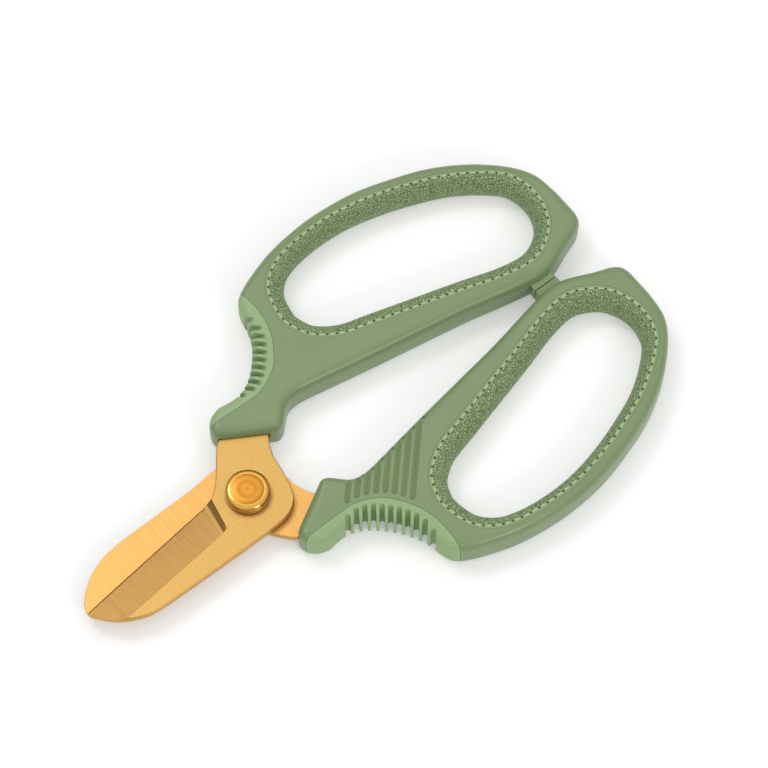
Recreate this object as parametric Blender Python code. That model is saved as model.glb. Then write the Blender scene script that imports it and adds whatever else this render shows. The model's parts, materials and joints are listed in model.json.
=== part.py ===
"""Floral snips: two halves, one turned over, that open about one rivet. Only their blades differ, slightly.

Metres, +Z up, blade tips towards +X. The origin is the centre of the bounding box's underside.
Each half is modelled on its own pivot axis as the upper half, with its finger loop towards -Y.
Plan sketches are in millimetres: how far back from the pivot, and how far out towards the half's own loop.
"""

import math

import bmesh
import bpy
import numpy as np

# Driving dimensions, in metres.
BLADE_LENGTH = 0.0540  # pivot to blade tip
HANDLE_LENGTH = 0.1227  # pivot to the rear of the finger loop
HANDLE_REACH = 0.0559  # closing plane to the outer side of the finger loop
HANDLE_THICKNESS = 0.0104
HANDLE_ROUND = 0.0026  # radius of the handle's long edges
BLADE_THICKNESS = 0.0021
CUTTING_EDGE = 0.0005  # thickness left at the ground edge
RIVET_SHANK_DIAMETER = 0.0060
RIVET_HEAD_DIAMETER = 0.0124
RIVET_DISC_DIAMETER = 0.0094  # flat top of the head, inside its bevel
RIVET_HEAD_HEIGHT = 0.0019
RIVET_TAIL_DIAMETER = 0.0084
RIVET_TAIL_HEIGHT = 0.0009
WASHER_THICKNESS = 0.0004
TAIL_WASHER_DIAMETER = 0.0096
LINER_RIM = 0.0009  # flat rim between the stitch line and the handle
LINER_BULGE_OUTER = 0.0031  # how far the liner swells into the loop, along the outer arch
LINER_BULGE_REAR = 0.0037
LINER_BULGE_BAR = 0.0043  # along the straight inner bar
LINER_SIDE_BLEND = 0.25  # share of the loop's width over which the two sides' swells blend
LINER_REAR_BLEND = 0.012
LINER_MIDLINE_FALL = 0.45  # share of its width that the loop's middle drops by, from front to rear
PAD_SLOT_PITCH = 0.00225
PAD_SLOT_WIDTH = 0.0012
PAD_SLOT_DEPTH = 0.0023
PAD_SLOTS = 11
PAD_SLOT_SHIFT = 0.0016  # rearwards, from the middle of the scallop
PAD_SLOT_HEADING = 128.0  # degrees from straight back, turning outwards
FLUTE_PITCH = 0.00247
FLUTE_WIDTH = 0.0012
FLUTE_DEPTH = 0.0006
FLUTES = 8
FLUTE_START = 0.0267  # first flute, from the pivot, measured across the flutes
FLUTE_HEADING = 133.0
FLUTE_MARGIN = 0.0013  # plain strip between the flutes and the thumb pad
FLUTE_REACH = 0.0300  # longer than the bar is wide
STOP_THICKNESS = 0.0050
STOP_ROOT = 0.0045  # how far out the stop block runs into the bar
FIT = 0.0003  # clearance between neighbouring pieces

# Shares of the rivet's own sizes.
TAIL_CROWN_RADIUS = 0.85
TAIL_CROWN_HEIGHT = 0.35
HEAD_LAND_HEIGHT = 0.3  # upright rim below the head's bevel
HEAD_SHOULDER_HEIGHT = 0.8
HEAD_SHOULDER_IN = 0.4  # of the way from the rim to the disc

# The sketches below reach these places; stretched() moves them to the lengths above.
DRAWN_BLADE = 54.0
DRAWN_HANDLE = 122.7
DRAWN_REACH = 55.9
BLADE_ROOT = 14.0  # nothing nearer the pivot than this moves when the blade grows
NECK = 32.0  # likewise for the handle, behind the pivot
BAR_SIDE = 16.0  # and sideways from the closing plane

# Outline of a half's handle, from the front face round the loop to the neck.
FRONT_FACE = [(17.4, 9.2), (3.6, 17.3)]
FRONT_CORNER = [(3.6, 17.3), (2.7, 19.0), (3.2, 21.3), (5.2, 23.5), (8.3, 24.7)]
SCALLOP = [(8.3, 24.7), (14.6, 24.2), (20.0, 26.4), (24.7, 30.8), (28.0, 35.3), (30.0, 39.5), (30.9, 43.8)]
OUTER_ARCH = [
    (30.9, 43.8), (32.3, 47.2), (36.0, 49.8), (42.5, 52.4), (50.0, 54.5), (60.0, 55.8), (69.0, 55.8),
    (79.0, 54.6), (90.0, 51.5), (99.5, 47.9), (109.0, 42.2), (117.0, 35.0), (121.5, 28.0), (122.7, 20.0),
]
REAR_END = [(122.7, 20.0), (122.7, 11.8)]
REAR_CORNER = [(122.7, 11.8), (121.9, 9.1), (119.4, 7.2)]
BAR = [
    (119.4, 7.2), (115.0, 5.7), (106.0, 2.2), (98.0, 2.4), (80.0, 6.1), (65.0, 8.6), (50.0, 11.1), (35.0, 13.8),
]
NECK_BEND = [(35.0, 13.8), (28.5, 14.8), (24.3, 14.2), (21.6, 11.9), (19.4, 9.8), (17.4, 9.2)]

# Stitch line of the finger loop: a closed smooth curve.
STITCH_LOOP = [
    (38.4, 36.0), (40.4, 43.8), (45.5, 49.0), (52.5, 51.4), (62.0, 52.3), (72.0, 51.8), (82.0, 49.7), (92.0, 46.4),
    (101.5, 42.3), (110.0, 36.8), (115.3, 31.5), (117.3, 24.5), (116.3, 17.5), (112.3, 11.2), (104.5, 7.2),
    (95.0, 8.0), (83.0, 11.6), (71.0, 15.0), (58.0, 18.7), (48.5, 21.5), (42.0, 26.0), (39.2, 31.0),
]

# Inner boundary of the thumb pad, and the box of air that its region also takes in.
PAD_ARC = [
    (2.2, 21.6), (4.5, 21.0), (8.0, 20.9), (13.4, 20.7), (20.0, 21.0), (26.5, 24.0), (30.2, 28.2), (33.0, 33.2),
    (34.5, 39.5), (34.3, 46.3), (33.4, 50.5),
]
PAD_OUTSIDE = [(10.0, 60.0), (-12.0, 40.0), (-3.0, 22.0)]

# Blade: cutting edge, point, spine and eye, then the tang with its hidden part in the handle.
# The lower edge runs on under the upper blade, so that the closed blades overlap right to their points.
CUTTING_SIDES = {
    "upper": [(-8.6, 4.8), (-20.1, 3.4), (-31.0, 2.0), (-42.1, 0.6), (-53.0, -0.9)],
    "lower": [(-8.6, 4.8), (-20.1, 3.9), (-31.0, 3.1), (-42.1, 2.5), (-52.9, 1.9)],
}
POINTS = {
    "upper": [(-53.0, -0.9), (-54.0, -1.4), (-53.6, -2.7)],
    "lower": [(-52.9, 1.9), (-53.7, 1.3), (-53.7, 0.3)],
}
SPINES = {
    "upper": [
        (-53.6, -2.7), (-51.0, -5.9), (-48.0, -8.6), (-43.5, -11.0), (-38.5, -12.1), (-30.0, -12.3), (-12.0, -12.3),
    ],
    "lower": [
        (-53.7, 0.3), (-53.4, -0.7), (-52.8, -1.8), (-51.3, -3.6), (-49.3, -5.4), (-46.5, -7.4), (-42.0, -9.3),
        (-37.0, -10.3), (-30.0, -10.7), (-12.0, -11.1),
    ],
}
EYE = [(-1.0, -12.1), (4.4, -11.6), (7.9, -9.8), (9.9, -6.9), (11.3, -1.3), (12.1, 4.6)]
TANG_INNER_SIDE = [(12.1, 4.6), (14.2, 9.3), (18.3, 13.4), (23.5, 16.3), (29.0, 16.7), (36.0, 15.9), (43.0, 14.6)]
TANG_END = [(43.0, 14.6), (43.4, 18.6), (39.5, 21.0)]
TANG_OUTER_SIDE = [(39.5, 21.0), (33.0, 23.2), (28.0, 22.4), (20.5, 19.2), (13.4, 18.6), (6.0, 18.4)]
SHOULDER = [(6.0, 18.4), (2.0, 16.4), (-3.3, 9.8), (-6.4, 6.4), (-8.6, 4.8)]

# The ground face: from the cutting edge to a line that runs from its step at the eye to the tip.
GRIND_STEP = 9.4  # how far ahead of the pivot the grinding stops
GRIND_NEAR_OUT = -5.1  # where the grinding meets the flat, at the step and abreast of the tip
GRIND_FAR_OUT = -10.3
EDGE_NEAR_OUT = 4.9  # the cutting edge at the same two places
EDGE_FAR_OUT = {"upper": -1.0, "lower": 1.8}
GRIND_ACROSS = (-0.5, 1.2)  # the cutter's reach, as shares of the way from the edge to the flat
GRIND_ALONG = (0.0, 1.2)  # and as shares of the way from the step to the tip

# Closing stop on the bar.
STOP_FRONT = 98.9
STOP_REAR = 106.1

ROUND_STEPS = 3  # facets across each rounded edge
CORNER_SHARE = 0.8  # how much of a tight corner its rounding may use up
LINER_STEPS = 8  # facets across the liner's swell
TURNED_SIDES = 40  # facets round the rivet and the washers


# ---------- outlines ----------
def stretched(value, fixed, drawn, wanted):
    """Leaves what lies within `fixed` of zero, and stretches the rest so that `drawn` lands on `wanted`."""
    beyond = np.maximum(value - fixed, 0.0)
    return value + beyond * (wanted - drawn) / (drawn - fixed)


def plan(sketch):
    """Turns sketch points (back, out) in millimetres into x, y in metres from the pivot."""
    back, out = np.array(sketch, float).T
    back = np.where(
        back > 0.0,
        stretched(back, NECK, DRAWN_HANDLE, 1000 * HANDLE_LENGTH),
        -stretched(-back, BLADE_ROOT, DRAWN_BLADE, 1000 * BLADE_LENGTH),
    )
    out = stretched(out, BAR_SIDE, DRAWN_REACH, 1000 * HANDLE_REACH)
    return np.stack([-back, -out], axis=1) / 1000


def smooth(sketch, spacing, closed=False):
    """Points about `spacing` millimetres apart on a Catmull-Rom curve through the sketch's points."""
    knots = np.array(sketch, float)
    if closed:
        knots = np.vstack([knots[-1:], knots, knots[:2]])
    else:
        knots = np.vstack([2 * knots[0] - knots[1], knots, 2 * knots[-1] - knots[-2]])
    found = []
    for before, start, end, after in zip(knots, knots[1:], knots[2:], knots[3:]):
        count = max(1, round(np.linalg.norm(end - start) / spacing))
        t = np.linspace(0.0, 1.0, count, endpoint=False)[:, None]
        found.append(
            start
            + 0.5 * t * (end - before)
            + t**2 * (before - 2.5 * start + 2 * end - 0.5 * after)
            + t**3 * (1.5 * (start - end) + 0.5 * (after - before))
        )
    points = np.vstack(found)
    return points if closed else np.vstack([points, knots[-2]])


def joined(*runs):
    """One closed outline from runs that each start where the last one ended."""
    return plan(np.vstack([np.array(run, float)[:-1] for run in runs]))


def area_of(outline):
    x, y = outline.T
    return 0.5 * np.sum(x * np.roll(y, -1) - y * np.roll(x, -1))


def grown(outline, distance):
    """The closed outline moved outwards by a distance, which may differ from point to point."""
    ahead = np.roll(outline, -1, axis=0) - outline
    ahead /= np.linalg.norm(ahead, axis=1)[:, None]
    turn = 1.0 if area_of(outline) > 0 else -1.0
    normal = turn * np.stack([ahead[:, 1], -ahead[:, 0]], axis=1)
    behind = np.roll(normal, 1, axis=0)
    share = 1 + np.sum(normal * behind, axis=1)
    return outline + (normal + behind) / share[:, None] * np.reshape(distance, (-1, 1))


def room_inside(outline):
    """For each point, how far in the outline can move there before its tight corners cross."""
    ahead = np.roll(outline, -1, axis=0) - outline
    length = np.linalg.norm(ahead, axis=1)
    heading = np.arctan2(ahead[:, 1], ahead[:, 0])
    bend = (heading - np.roll(heading, 1) + math.pi) % (2 * math.pi) - math.pi
    if area_of(outline) < 0:
        bend = -bend
    loss = np.tan(bend / 2)
    loss = loss + np.roll(loss, -1)
    room = np.where(loss > 1e-6, length / np.maximum(loss, 1e-6), 1.0)
    return CORNER_SHARE * np.minimum(room, np.roll(room, 1))


# ---------- solids ----------
def level(outline, height):
    return np.column_stack([outline, np.full(len(outline), height)])


def skinned(name, rings, closed=False):
    """A solid through rings of equal count: its ends capped, or the last ring joined to the first."""
    work = bmesh.new()
    loops = [[work.verts.new(point) for point in ring] for ring in rings]
    pairs = list(zip(loops, loops[1:]))
    if closed:
        pairs.append((loops[-1], loops[0]))
    else:
        work.faces.new(loops[0])
        work.faces.new(loops[-1])
    for low, high in pairs:
        for i in range(len(low)):
            work.faces.new((low[i - 1], low[i], high[i], high[i - 1]))
    bmesh.ops.recalc_face_normals(work, faces=work.faces)
    mesh = bpy.data.meshes.new(name)
    work.to_mesh(mesh)
    work.free()
    item = bpy.data.objects.new(name, mesh)
    bpy.context.scene.collection.objects.link(item)
    return item


def slab(name, outline, bottom, top):
    return skinned(name, [level(outline, bottom), level(outline, top)])


def rounded_slab(name, outline, half, radius):
    """A slab about z = 0 whose long edges are quarter rounds, eased in plan where a corner is tighter."""
    rings = []
    reach = np.minimum(radius, room_inside(outline))
    for angle in np.linspace(0.0, math.pi / 2, ROUND_STEPS + 1):
        inset = reach * (1 - math.sin(angle))
        drop = radius * (1 - math.cos(angle))
        rings.append(level(grown(outline, -inset), half - drop))
    lower = [ring * (1, 1, -1) for ring in rings]
    return skinned(name, lower + rings[::-1])


def turned(name, profile):
    """A solid of revolution about Z from (radius, height) pairs."""
    angle = np.linspace(0.0, 2 * math.pi, TURNED_SIDES, endpoint=False)
    circle = np.stack([np.cos(angle), np.sin(angle)], axis=1)
    return skinned(name, [level(radius * circle, height) for radius, height in profile])


def beam(name, start, end, width, bottom, top):
    """A box that runs from start to end in plan."""
    along = (end - start) / np.linalg.norm(end - start)
    across = np.array([-along[1], along[0]]) * width / 2
    return slab(name, np.array([start - across, end - across, end + across, start + across]), bottom, top)


def combine(item, tool, operation):
    """Applies one exact Boolean and removes the tool."""
    modifier = item.modifiers.new(operation.lower(), "BOOLEAN")
    modifier.operation = operation
    modifier.object = tool
    modifier.solver = "EXACT"
    bpy.context.view_layer.update()
    result = bpy.data.meshes.new_from_object(item.evaluated_get(bpy.context.evaluated_depsgraph_get()))
    item.modifiers.remove(modifier)
    item.data = result
    result.name = item.name
    bpy.data.objects.remove(tool)


# ---------- measures that several pieces share ----------
HALF_HANDLE = HANDLE_THICKNESS / 2
BLADE_BOTTOM = FIT / 2
BLADE_TOP = BLADE_BOTTOM + BLADE_THICKNESS
HEAD_WASHER_BOTTOM = BLADE_TOP + FIT
HEAD_BOTTOM = HEAD_WASHER_BOTTOM + WASHER_THICKNESS + FIT
HEAD_TOP = HEAD_BOTTOM + RIVET_HEAD_HEIGHT
TAIL_WASHER_TOP = -BLADE_TOP - FIT
TAIL_TOP = TAIL_WASHER_TOP - WASHER_THICKNESS - FIT
TAIL_BOTTOM = TAIL_TOP - RIVET_TAIL_HEIGHT
LOWEST = max(HALF_HANDLE, -TAIL_BOTTOM)
PIVOT_X = (HANDLE_LENGTH - BLADE_LENGTH) / 2
BEYOND = 0.005  # how far a cutter runs past what it cuts


def handle_outline():
    """The numbers here and in blade_outline are facet lengths in millimetres, finer where the curve is tight."""
    return joined(
        FRONT_FACE,
        smooth(FRONT_CORNER, 1.6),
        smooth(SCALLOP, 2.2),
        smooth(OUTER_ARCH, 5.0),
        REAR_END,
        smooth(REAR_CORNER, 1.8),
        smooth(BAR, 9.0),
        smooth(NECK_BEND, 2.6),
    )


def pad_region():
    return joined(smooth(PAD_ARC, 3.0), [PAD_ARC[-1], *PAD_OUTSIDE, PAD_ARC[0]])


def stitch_loop():
    return plan(smooth(STITCH_LOOP, 4.5, closed=True))


def blade_outline(which):
    return joined(
        CUTTING_SIDES[which],
        POINTS[which],
        smooth(SPINES[which] + EYE, 3.5),
        smooth(TANG_INNER_SIDE, 4.0),
        TANG_END,
        smooth(TANG_OUTER_SIDE, 4.0),
        smooth(SHOULDER, 3.5),
    )


def rib_axes(heading):
    """Unit vectors along a row of ribs, outwards, and across it, rearwards."""
    angle = math.radians(heading)
    return -np.array([math.cos(angle), math.sin(angle)]), -np.array([math.sin(angle), -math.cos(angle)])


def height_over(curve, along, across, place):
    """How far a curve lies along the ribs' direction, at a place measured across them."""
    ways = curve @ across
    order = np.argsort(ways)
    return np.interp(place, ways[order], (curve @ along)[order])


# ---------- materials ----------
def linear(channel):
    return channel / 12.92 if channel <= 0.04045 else ((channel + 0.055) / 1.055) ** 2.4


def material(name, srgb, metallic, roughness):
    made = bpy.data.materials.new(name)
    made.use_nodes = True
    shader = made.node_tree.nodes["Principled BSDF"]
    shader.inputs["Base Color"].default_value = (*(linear(part / 255) for part in srgb), 1)
    shader.inputs["Metallic"].default_value = metallic
    shader.inputs["Roughness"].default_value = roughness
    return made


# ---------- pieces ----------
def make_handle(name, which):
    handle = rounded_slab(name, handle_outline(), HALF_HANDLE, HANDLE_ROUND)
    (front, back), half_stop = plan([(STOP_FRONT, 0), (STOP_REAR, 0)])[:, 0], STOP_THICKNESS / 2
    stop = np.array([(front, -FIT / 2), (back, -FIT / 2), (back, -STOP_ROOT), (front, -STOP_ROOT)])
    combine(handle, slab("stop", stop, -half_stop, half_stop), "UNION")
    seat = grown(stitch_loop(), LINER_RIM + FIT)
    combine(handle, slab("seat", seat, -BEYOND - HALF_HANDLE, BEYOND + HALF_HANDLE), "DIFFERENCE")
    recess = grown(pad_region(), FIT)
    combine(handle, slab("recess", recess, -BEYOND - HALF_HANDLE, BEYOND + HALF_HANDLE), "DIFFERENCE")
    pocket = grown(blade_outline(which), FIT)
    combine(handle, slab("pocket", pocket, BLADE_BOTTOM - FIT, BLADE_TOP + FIT), "DIFFERENCE")
    along, across = rib_axes(FLUTE_HEADING)
    arc = plan(smooth(PAD_ARC[1:-1], 1.0))
    for number in range(FLUTES):
        place = FLUTE_START + number * FLUTE_PITCH
        start = along * (height_over(arc, along, across, place) - FLUTE_MARGIN) + across * place
        groove = beam("flute", start, start - along * FLUTE_REACH, FLUTE_WIDTH, -HALF_HANDLE - BEYOND,
                      -HALF_HANDLE + FLUTE_DEPTH)
        combine(handle, groove, "DIFFERENCE")
    return handle


def make_liner(name):
    stitches = stitch_loop()
    # The swell is deepest on the bar side, least along the outer arch, and blends round both ends.
    back, out = -stitches[:, 0], -stitches[:, 1]
    rearwards = (back - back.min()) / np.ptp(back)
    middle = out.min() + np.ptp(out) * (1 - LINER_MIDLINE_FALL * rearwards)
    side = np.clip((middle - out) / (np.ptp(out) * LINER_SIDE_BLEND) + 0.5, 0.0, 1.0)
    rear = np.clip(1 - (back.max() - back) / LINER_REAR_BLEND, 0.0, 1.0)
    swell = LINER_BULGE_OUTER + (LINER_BULGE_BAR - LINER_BULGE_OUTER) * side
    swell = swell + (LINER_BULGE_REAR - swell) * rear
    rings = [level(grown(stitches, LINER_RIM), -HALF_HANDLE)]
    for angle in np.linspace(-math.pi / 2, math.pi / 2, LINER_STEPS + 1):
        rings.append(level(grown(stitches, -swell * math.cos(angle)), HALF_HANDLE * math.sin(angle)))
    rings.append(level(grown(stitches, LINER_RIM), HALF_HANDLE))
    return skinned(name, rings, closed=True)


def make_pad(name):
    pad = rounded_slab(name, handle_outline(), HALF_HANDLE, HANDLE_ROUND)
    region = slab("region", pad_region(), -BEYOND - HALF_HANDLE, BEYOND + HALF_HANDLE)
    combine(pad, region, "INTERSECT")
    along, across = rib_axes(PAD_SLOT_HEADING)
    wall = plan(smooth(SCALLOP, 0.5))
    ends = wall[[0, -1]] @ across
    for number in range(PAD_SLOTS):
        place = ends.mean() + PAD_SLOT_SHIFT + (number - (PAD_SLOTS - 1) / 2) * PAD_SLOT_PITCH
        start = along * (height_over(wall, along, across, place) - PAD_SLOT_DEPTH) + across * place
        slot = beam("slot", start, start + along * (PAD_SLOT_DEPTH + BEYOND), PAD_SLOT_WIDTH,
                    -HALF_HANDLE - BEYOND, HALF_HANDLE + BEYOND)
        combine(pad, slot, "DIFFERENCE")
    return pad


def grind_cutter(which):
    """What the grinding takes off: all above a face that climbs from the cutting edge to the flat.

    It reaches past the edge, the flat and the tip, so that its own sides never meet the blade's.
    """
    near, far = -GRIND_STEP, -DRAWN_BLADE
    edge = np.column_stack([plan([(near, EDGE_NEAR_OUT), (far, EDGE_FAR_OUT[which])]), [BLADE_BOTTOM + CUTTING_EDGE] * 2])
    flat = np.column_stack([plan([(near, GRIND_NEAR_OUT), (far, GRIND_FAR_OUT)]), [BLADE_TOP] * 2])
    face = []
    for along, across in zip(np.repeat(GRIND_ALONG, 2), [*GRIND_ACROSS, *GRIND_ACROSS[::-1]]):
        here = edge[0] + along * (edge[1] - edge[0])
        there = flat[0] + along * (flat[1] - flat[0])
        face.append(here + across * (there - here))
    face = np.array(face)
    return skinned("grind", [face, level(face[:, :2], BLADE_TOP + BEYOND)])


def make_blade(name, which):
    blade = slab(name, blade_outline(which), BLADE_BOTTOM, BLADE_TOP)
    combine(blade, grind_cutter(which), "DIFFERENCE")
    bore = RIVET_SHANK_DIAMETER / 2 + FIT
    combine(blade, turned("bore", [(bore, -BEYOND), (bore, BLADE_TOP + BEYOND)]), "DIFFERENCE")
    return blade


def make_rivet(name):
    shank, head, disc = RIVET_SHANK_DIAMETER / 2, RIVET_HEAD_DIAMETER / 2, RIVET_DISC_DIAMETER / 2
    tail = RIVET_TAIL_DIAMETER / 2
    return turned(name, [
        (TAIL_CROWN_RADIUS * tail, TAIL_BOTTOM),
        (tail, TAIL_BOTTOM + TAIL_CROWN_HEIGHT * RIVET_TAIL_HEIGHT),
        (tail, TAIL_TOP),
        (shank, TAIL_TOP),
        (shank, HEAD_BOTTOM),
        (head, HEAD_BOTTOM),
        (head, HEAD_BOTTOM + HEAD_LAND_HEIGHT * RIVET_HEAD_HEIGHT),
        (head + HEAD_SHOULDER_IN * (disc - head), HEAD_BOTTOM + HEAD_SHOULDER_HEIGHT * RIVET_HEAD_HEIGHT),
        (disc, HEAD_TOP),
    ])


def make_washer(name, diameter, bottom):
    washer = turned(name, [(diameter / 2, bottom), (diameter / 2, bottom + WASHER_THICKNESS)])
    bore = RIVET_SHANK_DIAMETER / 2 + FIT
    combine(washer, turned("bore", [(bore, bottom - BEYOND), (bore, bottom + BEYOND)]), "DIFFERENCE")
    return washer


def make_body(name, turned_over):
    """An empty on the pivot axis, at the height of the plane between the blades."""
    body = bpy.data.objects.new(name, None)
    body.location = (PIVOT_X, 0, LOWEST)
    body.rotation_euler = (math.pi if turned_over else 0, 0, 0)
    bpy.context.scene.collection.objects.link(body)
    return body


def finish_piece(item, body, finish, smooth_angle=35):
    item.parent = body
    item.data.materials.clear()
    item.data.materials.append(finish)
    item.data.shade_smooth()
    item.data.set_sharp_from_angle(angle=math.radians(smooth_angle))


def main():
    for item in list(bpy.data.objects):
        bpy.data.objects.remove(item)
    moulded = material("moulded_sage_plastic", (129, 148, 106), 0, 0.45)
    soft = material("soft_pad_rubber", (147, 172, 122), 0, 0.6)
    leather = material("leather_grain_liner", (126, 148, 98), 0, 0.65)
    gold = material("gold_coated_steel", (226, 186, 108), 1, 0.35)
    polished = material("polished_gold", (232, 180, 95), 1, 0.15)
    upper = make_body("upper_half", False)
    lower = make_body("lower_half", True)
    fixed = make_body("rivet_axis", False)
    for half, prefix in ((upper, "upper"), (lower, "lower")):
        finish_piece(make_blade(prefix + "_blade", prefix), half, gold, smooth_angle=20)
        finish_piece(make_handle(prefix + "_handle", prefix), half, moulded)
        finish_piece(make_liner(prefix + "_loop_liner"), half, leather)
        finish_piece(make_pad(prefix + "_thumb_pad"), half, soft)
    finish_piece(make_rivet("pivot_rivet"), fixed, polished)
    finish_piece(make_washer("head_washer", RIVET_HEAD_DIAMETER, HEAD_WASHER_BOTTOM), fixed, gold)
    finish_piece(
        make_washer("tail_washer", TAIL_WASHER_DIAMETER, TAIL_WASHER_TOP - WASHER_THICKNESS), fixed, gold
    )


main()
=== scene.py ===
import json
import math

import bmesh
import bpy
import numpy as np
from mathutils import Matrix, Vector


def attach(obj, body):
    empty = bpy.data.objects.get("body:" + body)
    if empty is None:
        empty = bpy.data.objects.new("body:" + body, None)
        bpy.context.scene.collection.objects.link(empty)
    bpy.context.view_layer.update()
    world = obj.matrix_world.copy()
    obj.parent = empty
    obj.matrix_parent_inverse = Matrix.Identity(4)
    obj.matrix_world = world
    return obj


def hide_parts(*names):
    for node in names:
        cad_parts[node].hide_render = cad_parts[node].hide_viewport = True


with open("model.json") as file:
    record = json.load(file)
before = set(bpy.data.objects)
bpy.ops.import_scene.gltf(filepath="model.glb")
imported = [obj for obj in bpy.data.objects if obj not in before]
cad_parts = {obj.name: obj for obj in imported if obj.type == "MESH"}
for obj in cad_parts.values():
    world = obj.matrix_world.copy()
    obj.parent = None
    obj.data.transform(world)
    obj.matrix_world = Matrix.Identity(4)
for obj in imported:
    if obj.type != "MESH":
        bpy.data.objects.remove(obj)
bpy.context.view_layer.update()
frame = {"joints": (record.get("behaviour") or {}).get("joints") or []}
pivot = np.array(frame["joints"][0]["pos_m"])  # on the rivet's axis, between the blades
print("frame loaded")


def smoothCurve(points, spacing, closed=False):
    # Catmull-Rom: between two knots a cubic whose slope at each knot is half the chord of its neighbours
    knots = np.array(points, float)
    if closed:
        knots = np.vstack([knots[-1:], knots, knots[:2]])
    else:
        knots = np.vstack([2 * knots[0] - knots[1], knots, 2 * knots[-1] - knots[-2]])
    a, b, c, d = knots[:-3], knots[1:-2], knots[2:-1], knots[3:]
    counts = np.maximum(1, np.round(np.linalg.norm(c - b, axis=1) / spacing).astype(int))
    span = np.repeat(np.arange(len(counts)), counts)
    first = np.repeat(np.cumsum(counts) - counts, counts)
    t = ((np.arange(counts.sum()) - first) / counts[span])[:, None]
    a, b, c, d = a[span], b[span], c[span], d[span]
    curve = b + 0.5 * t * (c - a) + t**2 * (a - 2.5 * b + 2 * c - 0.5 * d) + t**3 * (1.5 * (b - c) + 0.5 * (d - a))
    return curve if closed else np.vstack([curve, knots[-2]])


def joinRuns(*runs):
    return np.vstack([np.array(run, float)[:-1] for run in runs])


def evenOutline(outline, spacing):
    # the same closed line cut at equal steps of arc length
    closed = np.vstack([outline, outline[:1]])
    along = np.concatenate([[0], np.cumsum(np.linalg.norm(np.diff(closed, axis=0), axis=1))])
    at = np.linspace(0, along[-1], int(round(along[-1] / spacing)), endpoint=False)
    return np.stack([np.interp(at, along, closed[:, axis]) for axis in (0, 1)], axis=1)


def circular(values, weights):
    # weighted mean of each value's neighbours on a closed line
    reach = len(weights) // 2
    padded = np.concatenate([values[-reach:], values, values[:reach]])
    return np.convolve(padded, weights / weights.sum(), "valid")


def softened(outline, spacing, distance):
    # a Gaussian of that many millimetres run along the line, which turns a sharp corner into a small fillet
    steps = np.arange(-int(3 * distance / spacing) - 1, int(3 * distance / spacing) + 2)
    weights = np.exp(-0.5 * (steps * spacing / distance) ** 2)
    return np.stack([circular(outline[:, axis], weights) for axis in (0, 1)], axis=1)


def signedArea(outline):
    x, y = outline.T
    return 0.5 * np.sum(x * np.roll(y, -1) - y * np.roll(x, -1))


def outward(outline):
    # unit normal at each point: the tangent through its neighbours, turned a quarter away from the inside
    tangent = np.roll(outline, -1, axis=0) - np.roll(outline, 1, axis=0)
    tangent /= np.linalg.norm(tangent, axis=1)[:, None]
    turn = 1.0 if signedArea(outline) > 0 else -1.0
    return turn * np.stack([tangent[:, 1], -tangent[:, 0]], axis=1)


def grown(outline, distance):
    return outline + outward(outline) * np.reshape(distance, (-1, 1))


cornerShare = 0.8  # of the line's own radius of curvature that an inset may take up
cornerEase = 2.5  # millimetres on both sides of a tight corner over which the inset is eased


def cornerRoom(outline, spacing, wanted):
    # the wanted inset, cut down at tight corners and eased on both sides of them
    ahead = np.roll(outline, -1, axis=0) - outline
    heading = np.arctan2(ahead[:, 1], ahead[:, 0])
    bend = (heading - np.roll(heading, 1) + math.pi) % (2 * math.pi) - math.pi
    bend = bend if signedArea(outline) > 0 else -bend
    radius = spacing / np.maximum(bend, spacing / 50)
    room = np.minimum(wanted, cornerShare * radius)
    width = int(cornerEase / spacing)
    window = np.stack([np.roll(room, step) for step in range(-width, width + 1)])
    return circular(window.min(axis=0), np.ones(2 * width + 1))


def inHalf(points, half):
    # millimetres (back, out, height) to metres in the frame; the lower half is turned over about X
    side = 1 if half == "upper" else -1
    return np.stack(
        [pivot[0] - points[..., 0] / 1000, pivot[1] - side * points[..., 1] / 1000,
         pivot[2] + side * points[..., 2] / 1000], axis=-1)


def meshFrom(name, vertices, faces):
    mesh = bpy.data.meshes.new(name)
    mesh.from_pydata(vertices.tolist(), [], faces)
    work = bmesh.new()
    work.from_mesh(mesh)
    bmesh.ops.recalc_face_normals(work, faces=work.faces)
    work.to_mesh(mesh)
    work.free()
    item = bpy.data.objects.new(name, mesh)
    bpy.context.scene.collection.objects.link(item)
    return item


def gridFaces(rings, count, closed):
    # quads between neighbouring rings, each ring joined to its own start
    low = np.arange(rings if closed else rings - 1)[:, None]
    i = np.arange(count)[None, :]
    j = (i + 1) % count
    high = (low + 1) % rings
    return np.stack([low * count + i, low * count + j, high * count + j, high * count + i], axis=-1).reshape(-1, 4)


def loft(name, rings, half, closed=False):
    # rings of equal count: ends capped, or the last ring joined to the first
    rings = np.array(rings)
    count = rings.shape[1]
    faces = gridFaces(len(rings), count, closed).tolist()
    if not closed:
        faces += [list(range(count)), list(range((len(rings) - 1) * count, len(rings) * count))]
    return meshFrom(name, inHalf(rings.reshape(-1, 3), half), faces)


def atHeight(outline, height):
    return np.column_stack([outline, np.full(len(outline), height)])


cutRoom = 4  # millimetres that a cutting block stands out past the faces


def slab(name, outline, bottom, top, half):
    return loft(name, [atHeight(outline, bottom), atHeight(outline, top)], half)


def combine(item, tool, operation):
    modifier = item.modifiers.new("cut", "BOOLEAN")
    modifier.operation = operation
    modifier.object = tool
    modifier.solver = "EXACT"
    bpy.context.view_layer.update()
    result = bpy.data.meshes.new_from_object(item.evaluated_get(bpy.context.evaluated_depsgraph_get()))
    item.modifiers.remove(modifier)
    item.data = result
    result.name = item.name
    bpy.data.objects.remove(tool)


def ribAxes(degrees):
    angle = math.radians(degrees)
    return np.array([math.cos(angle), math.sin(angle)]), np.array([math.sin(angle), -math.cos(angle)])


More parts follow.
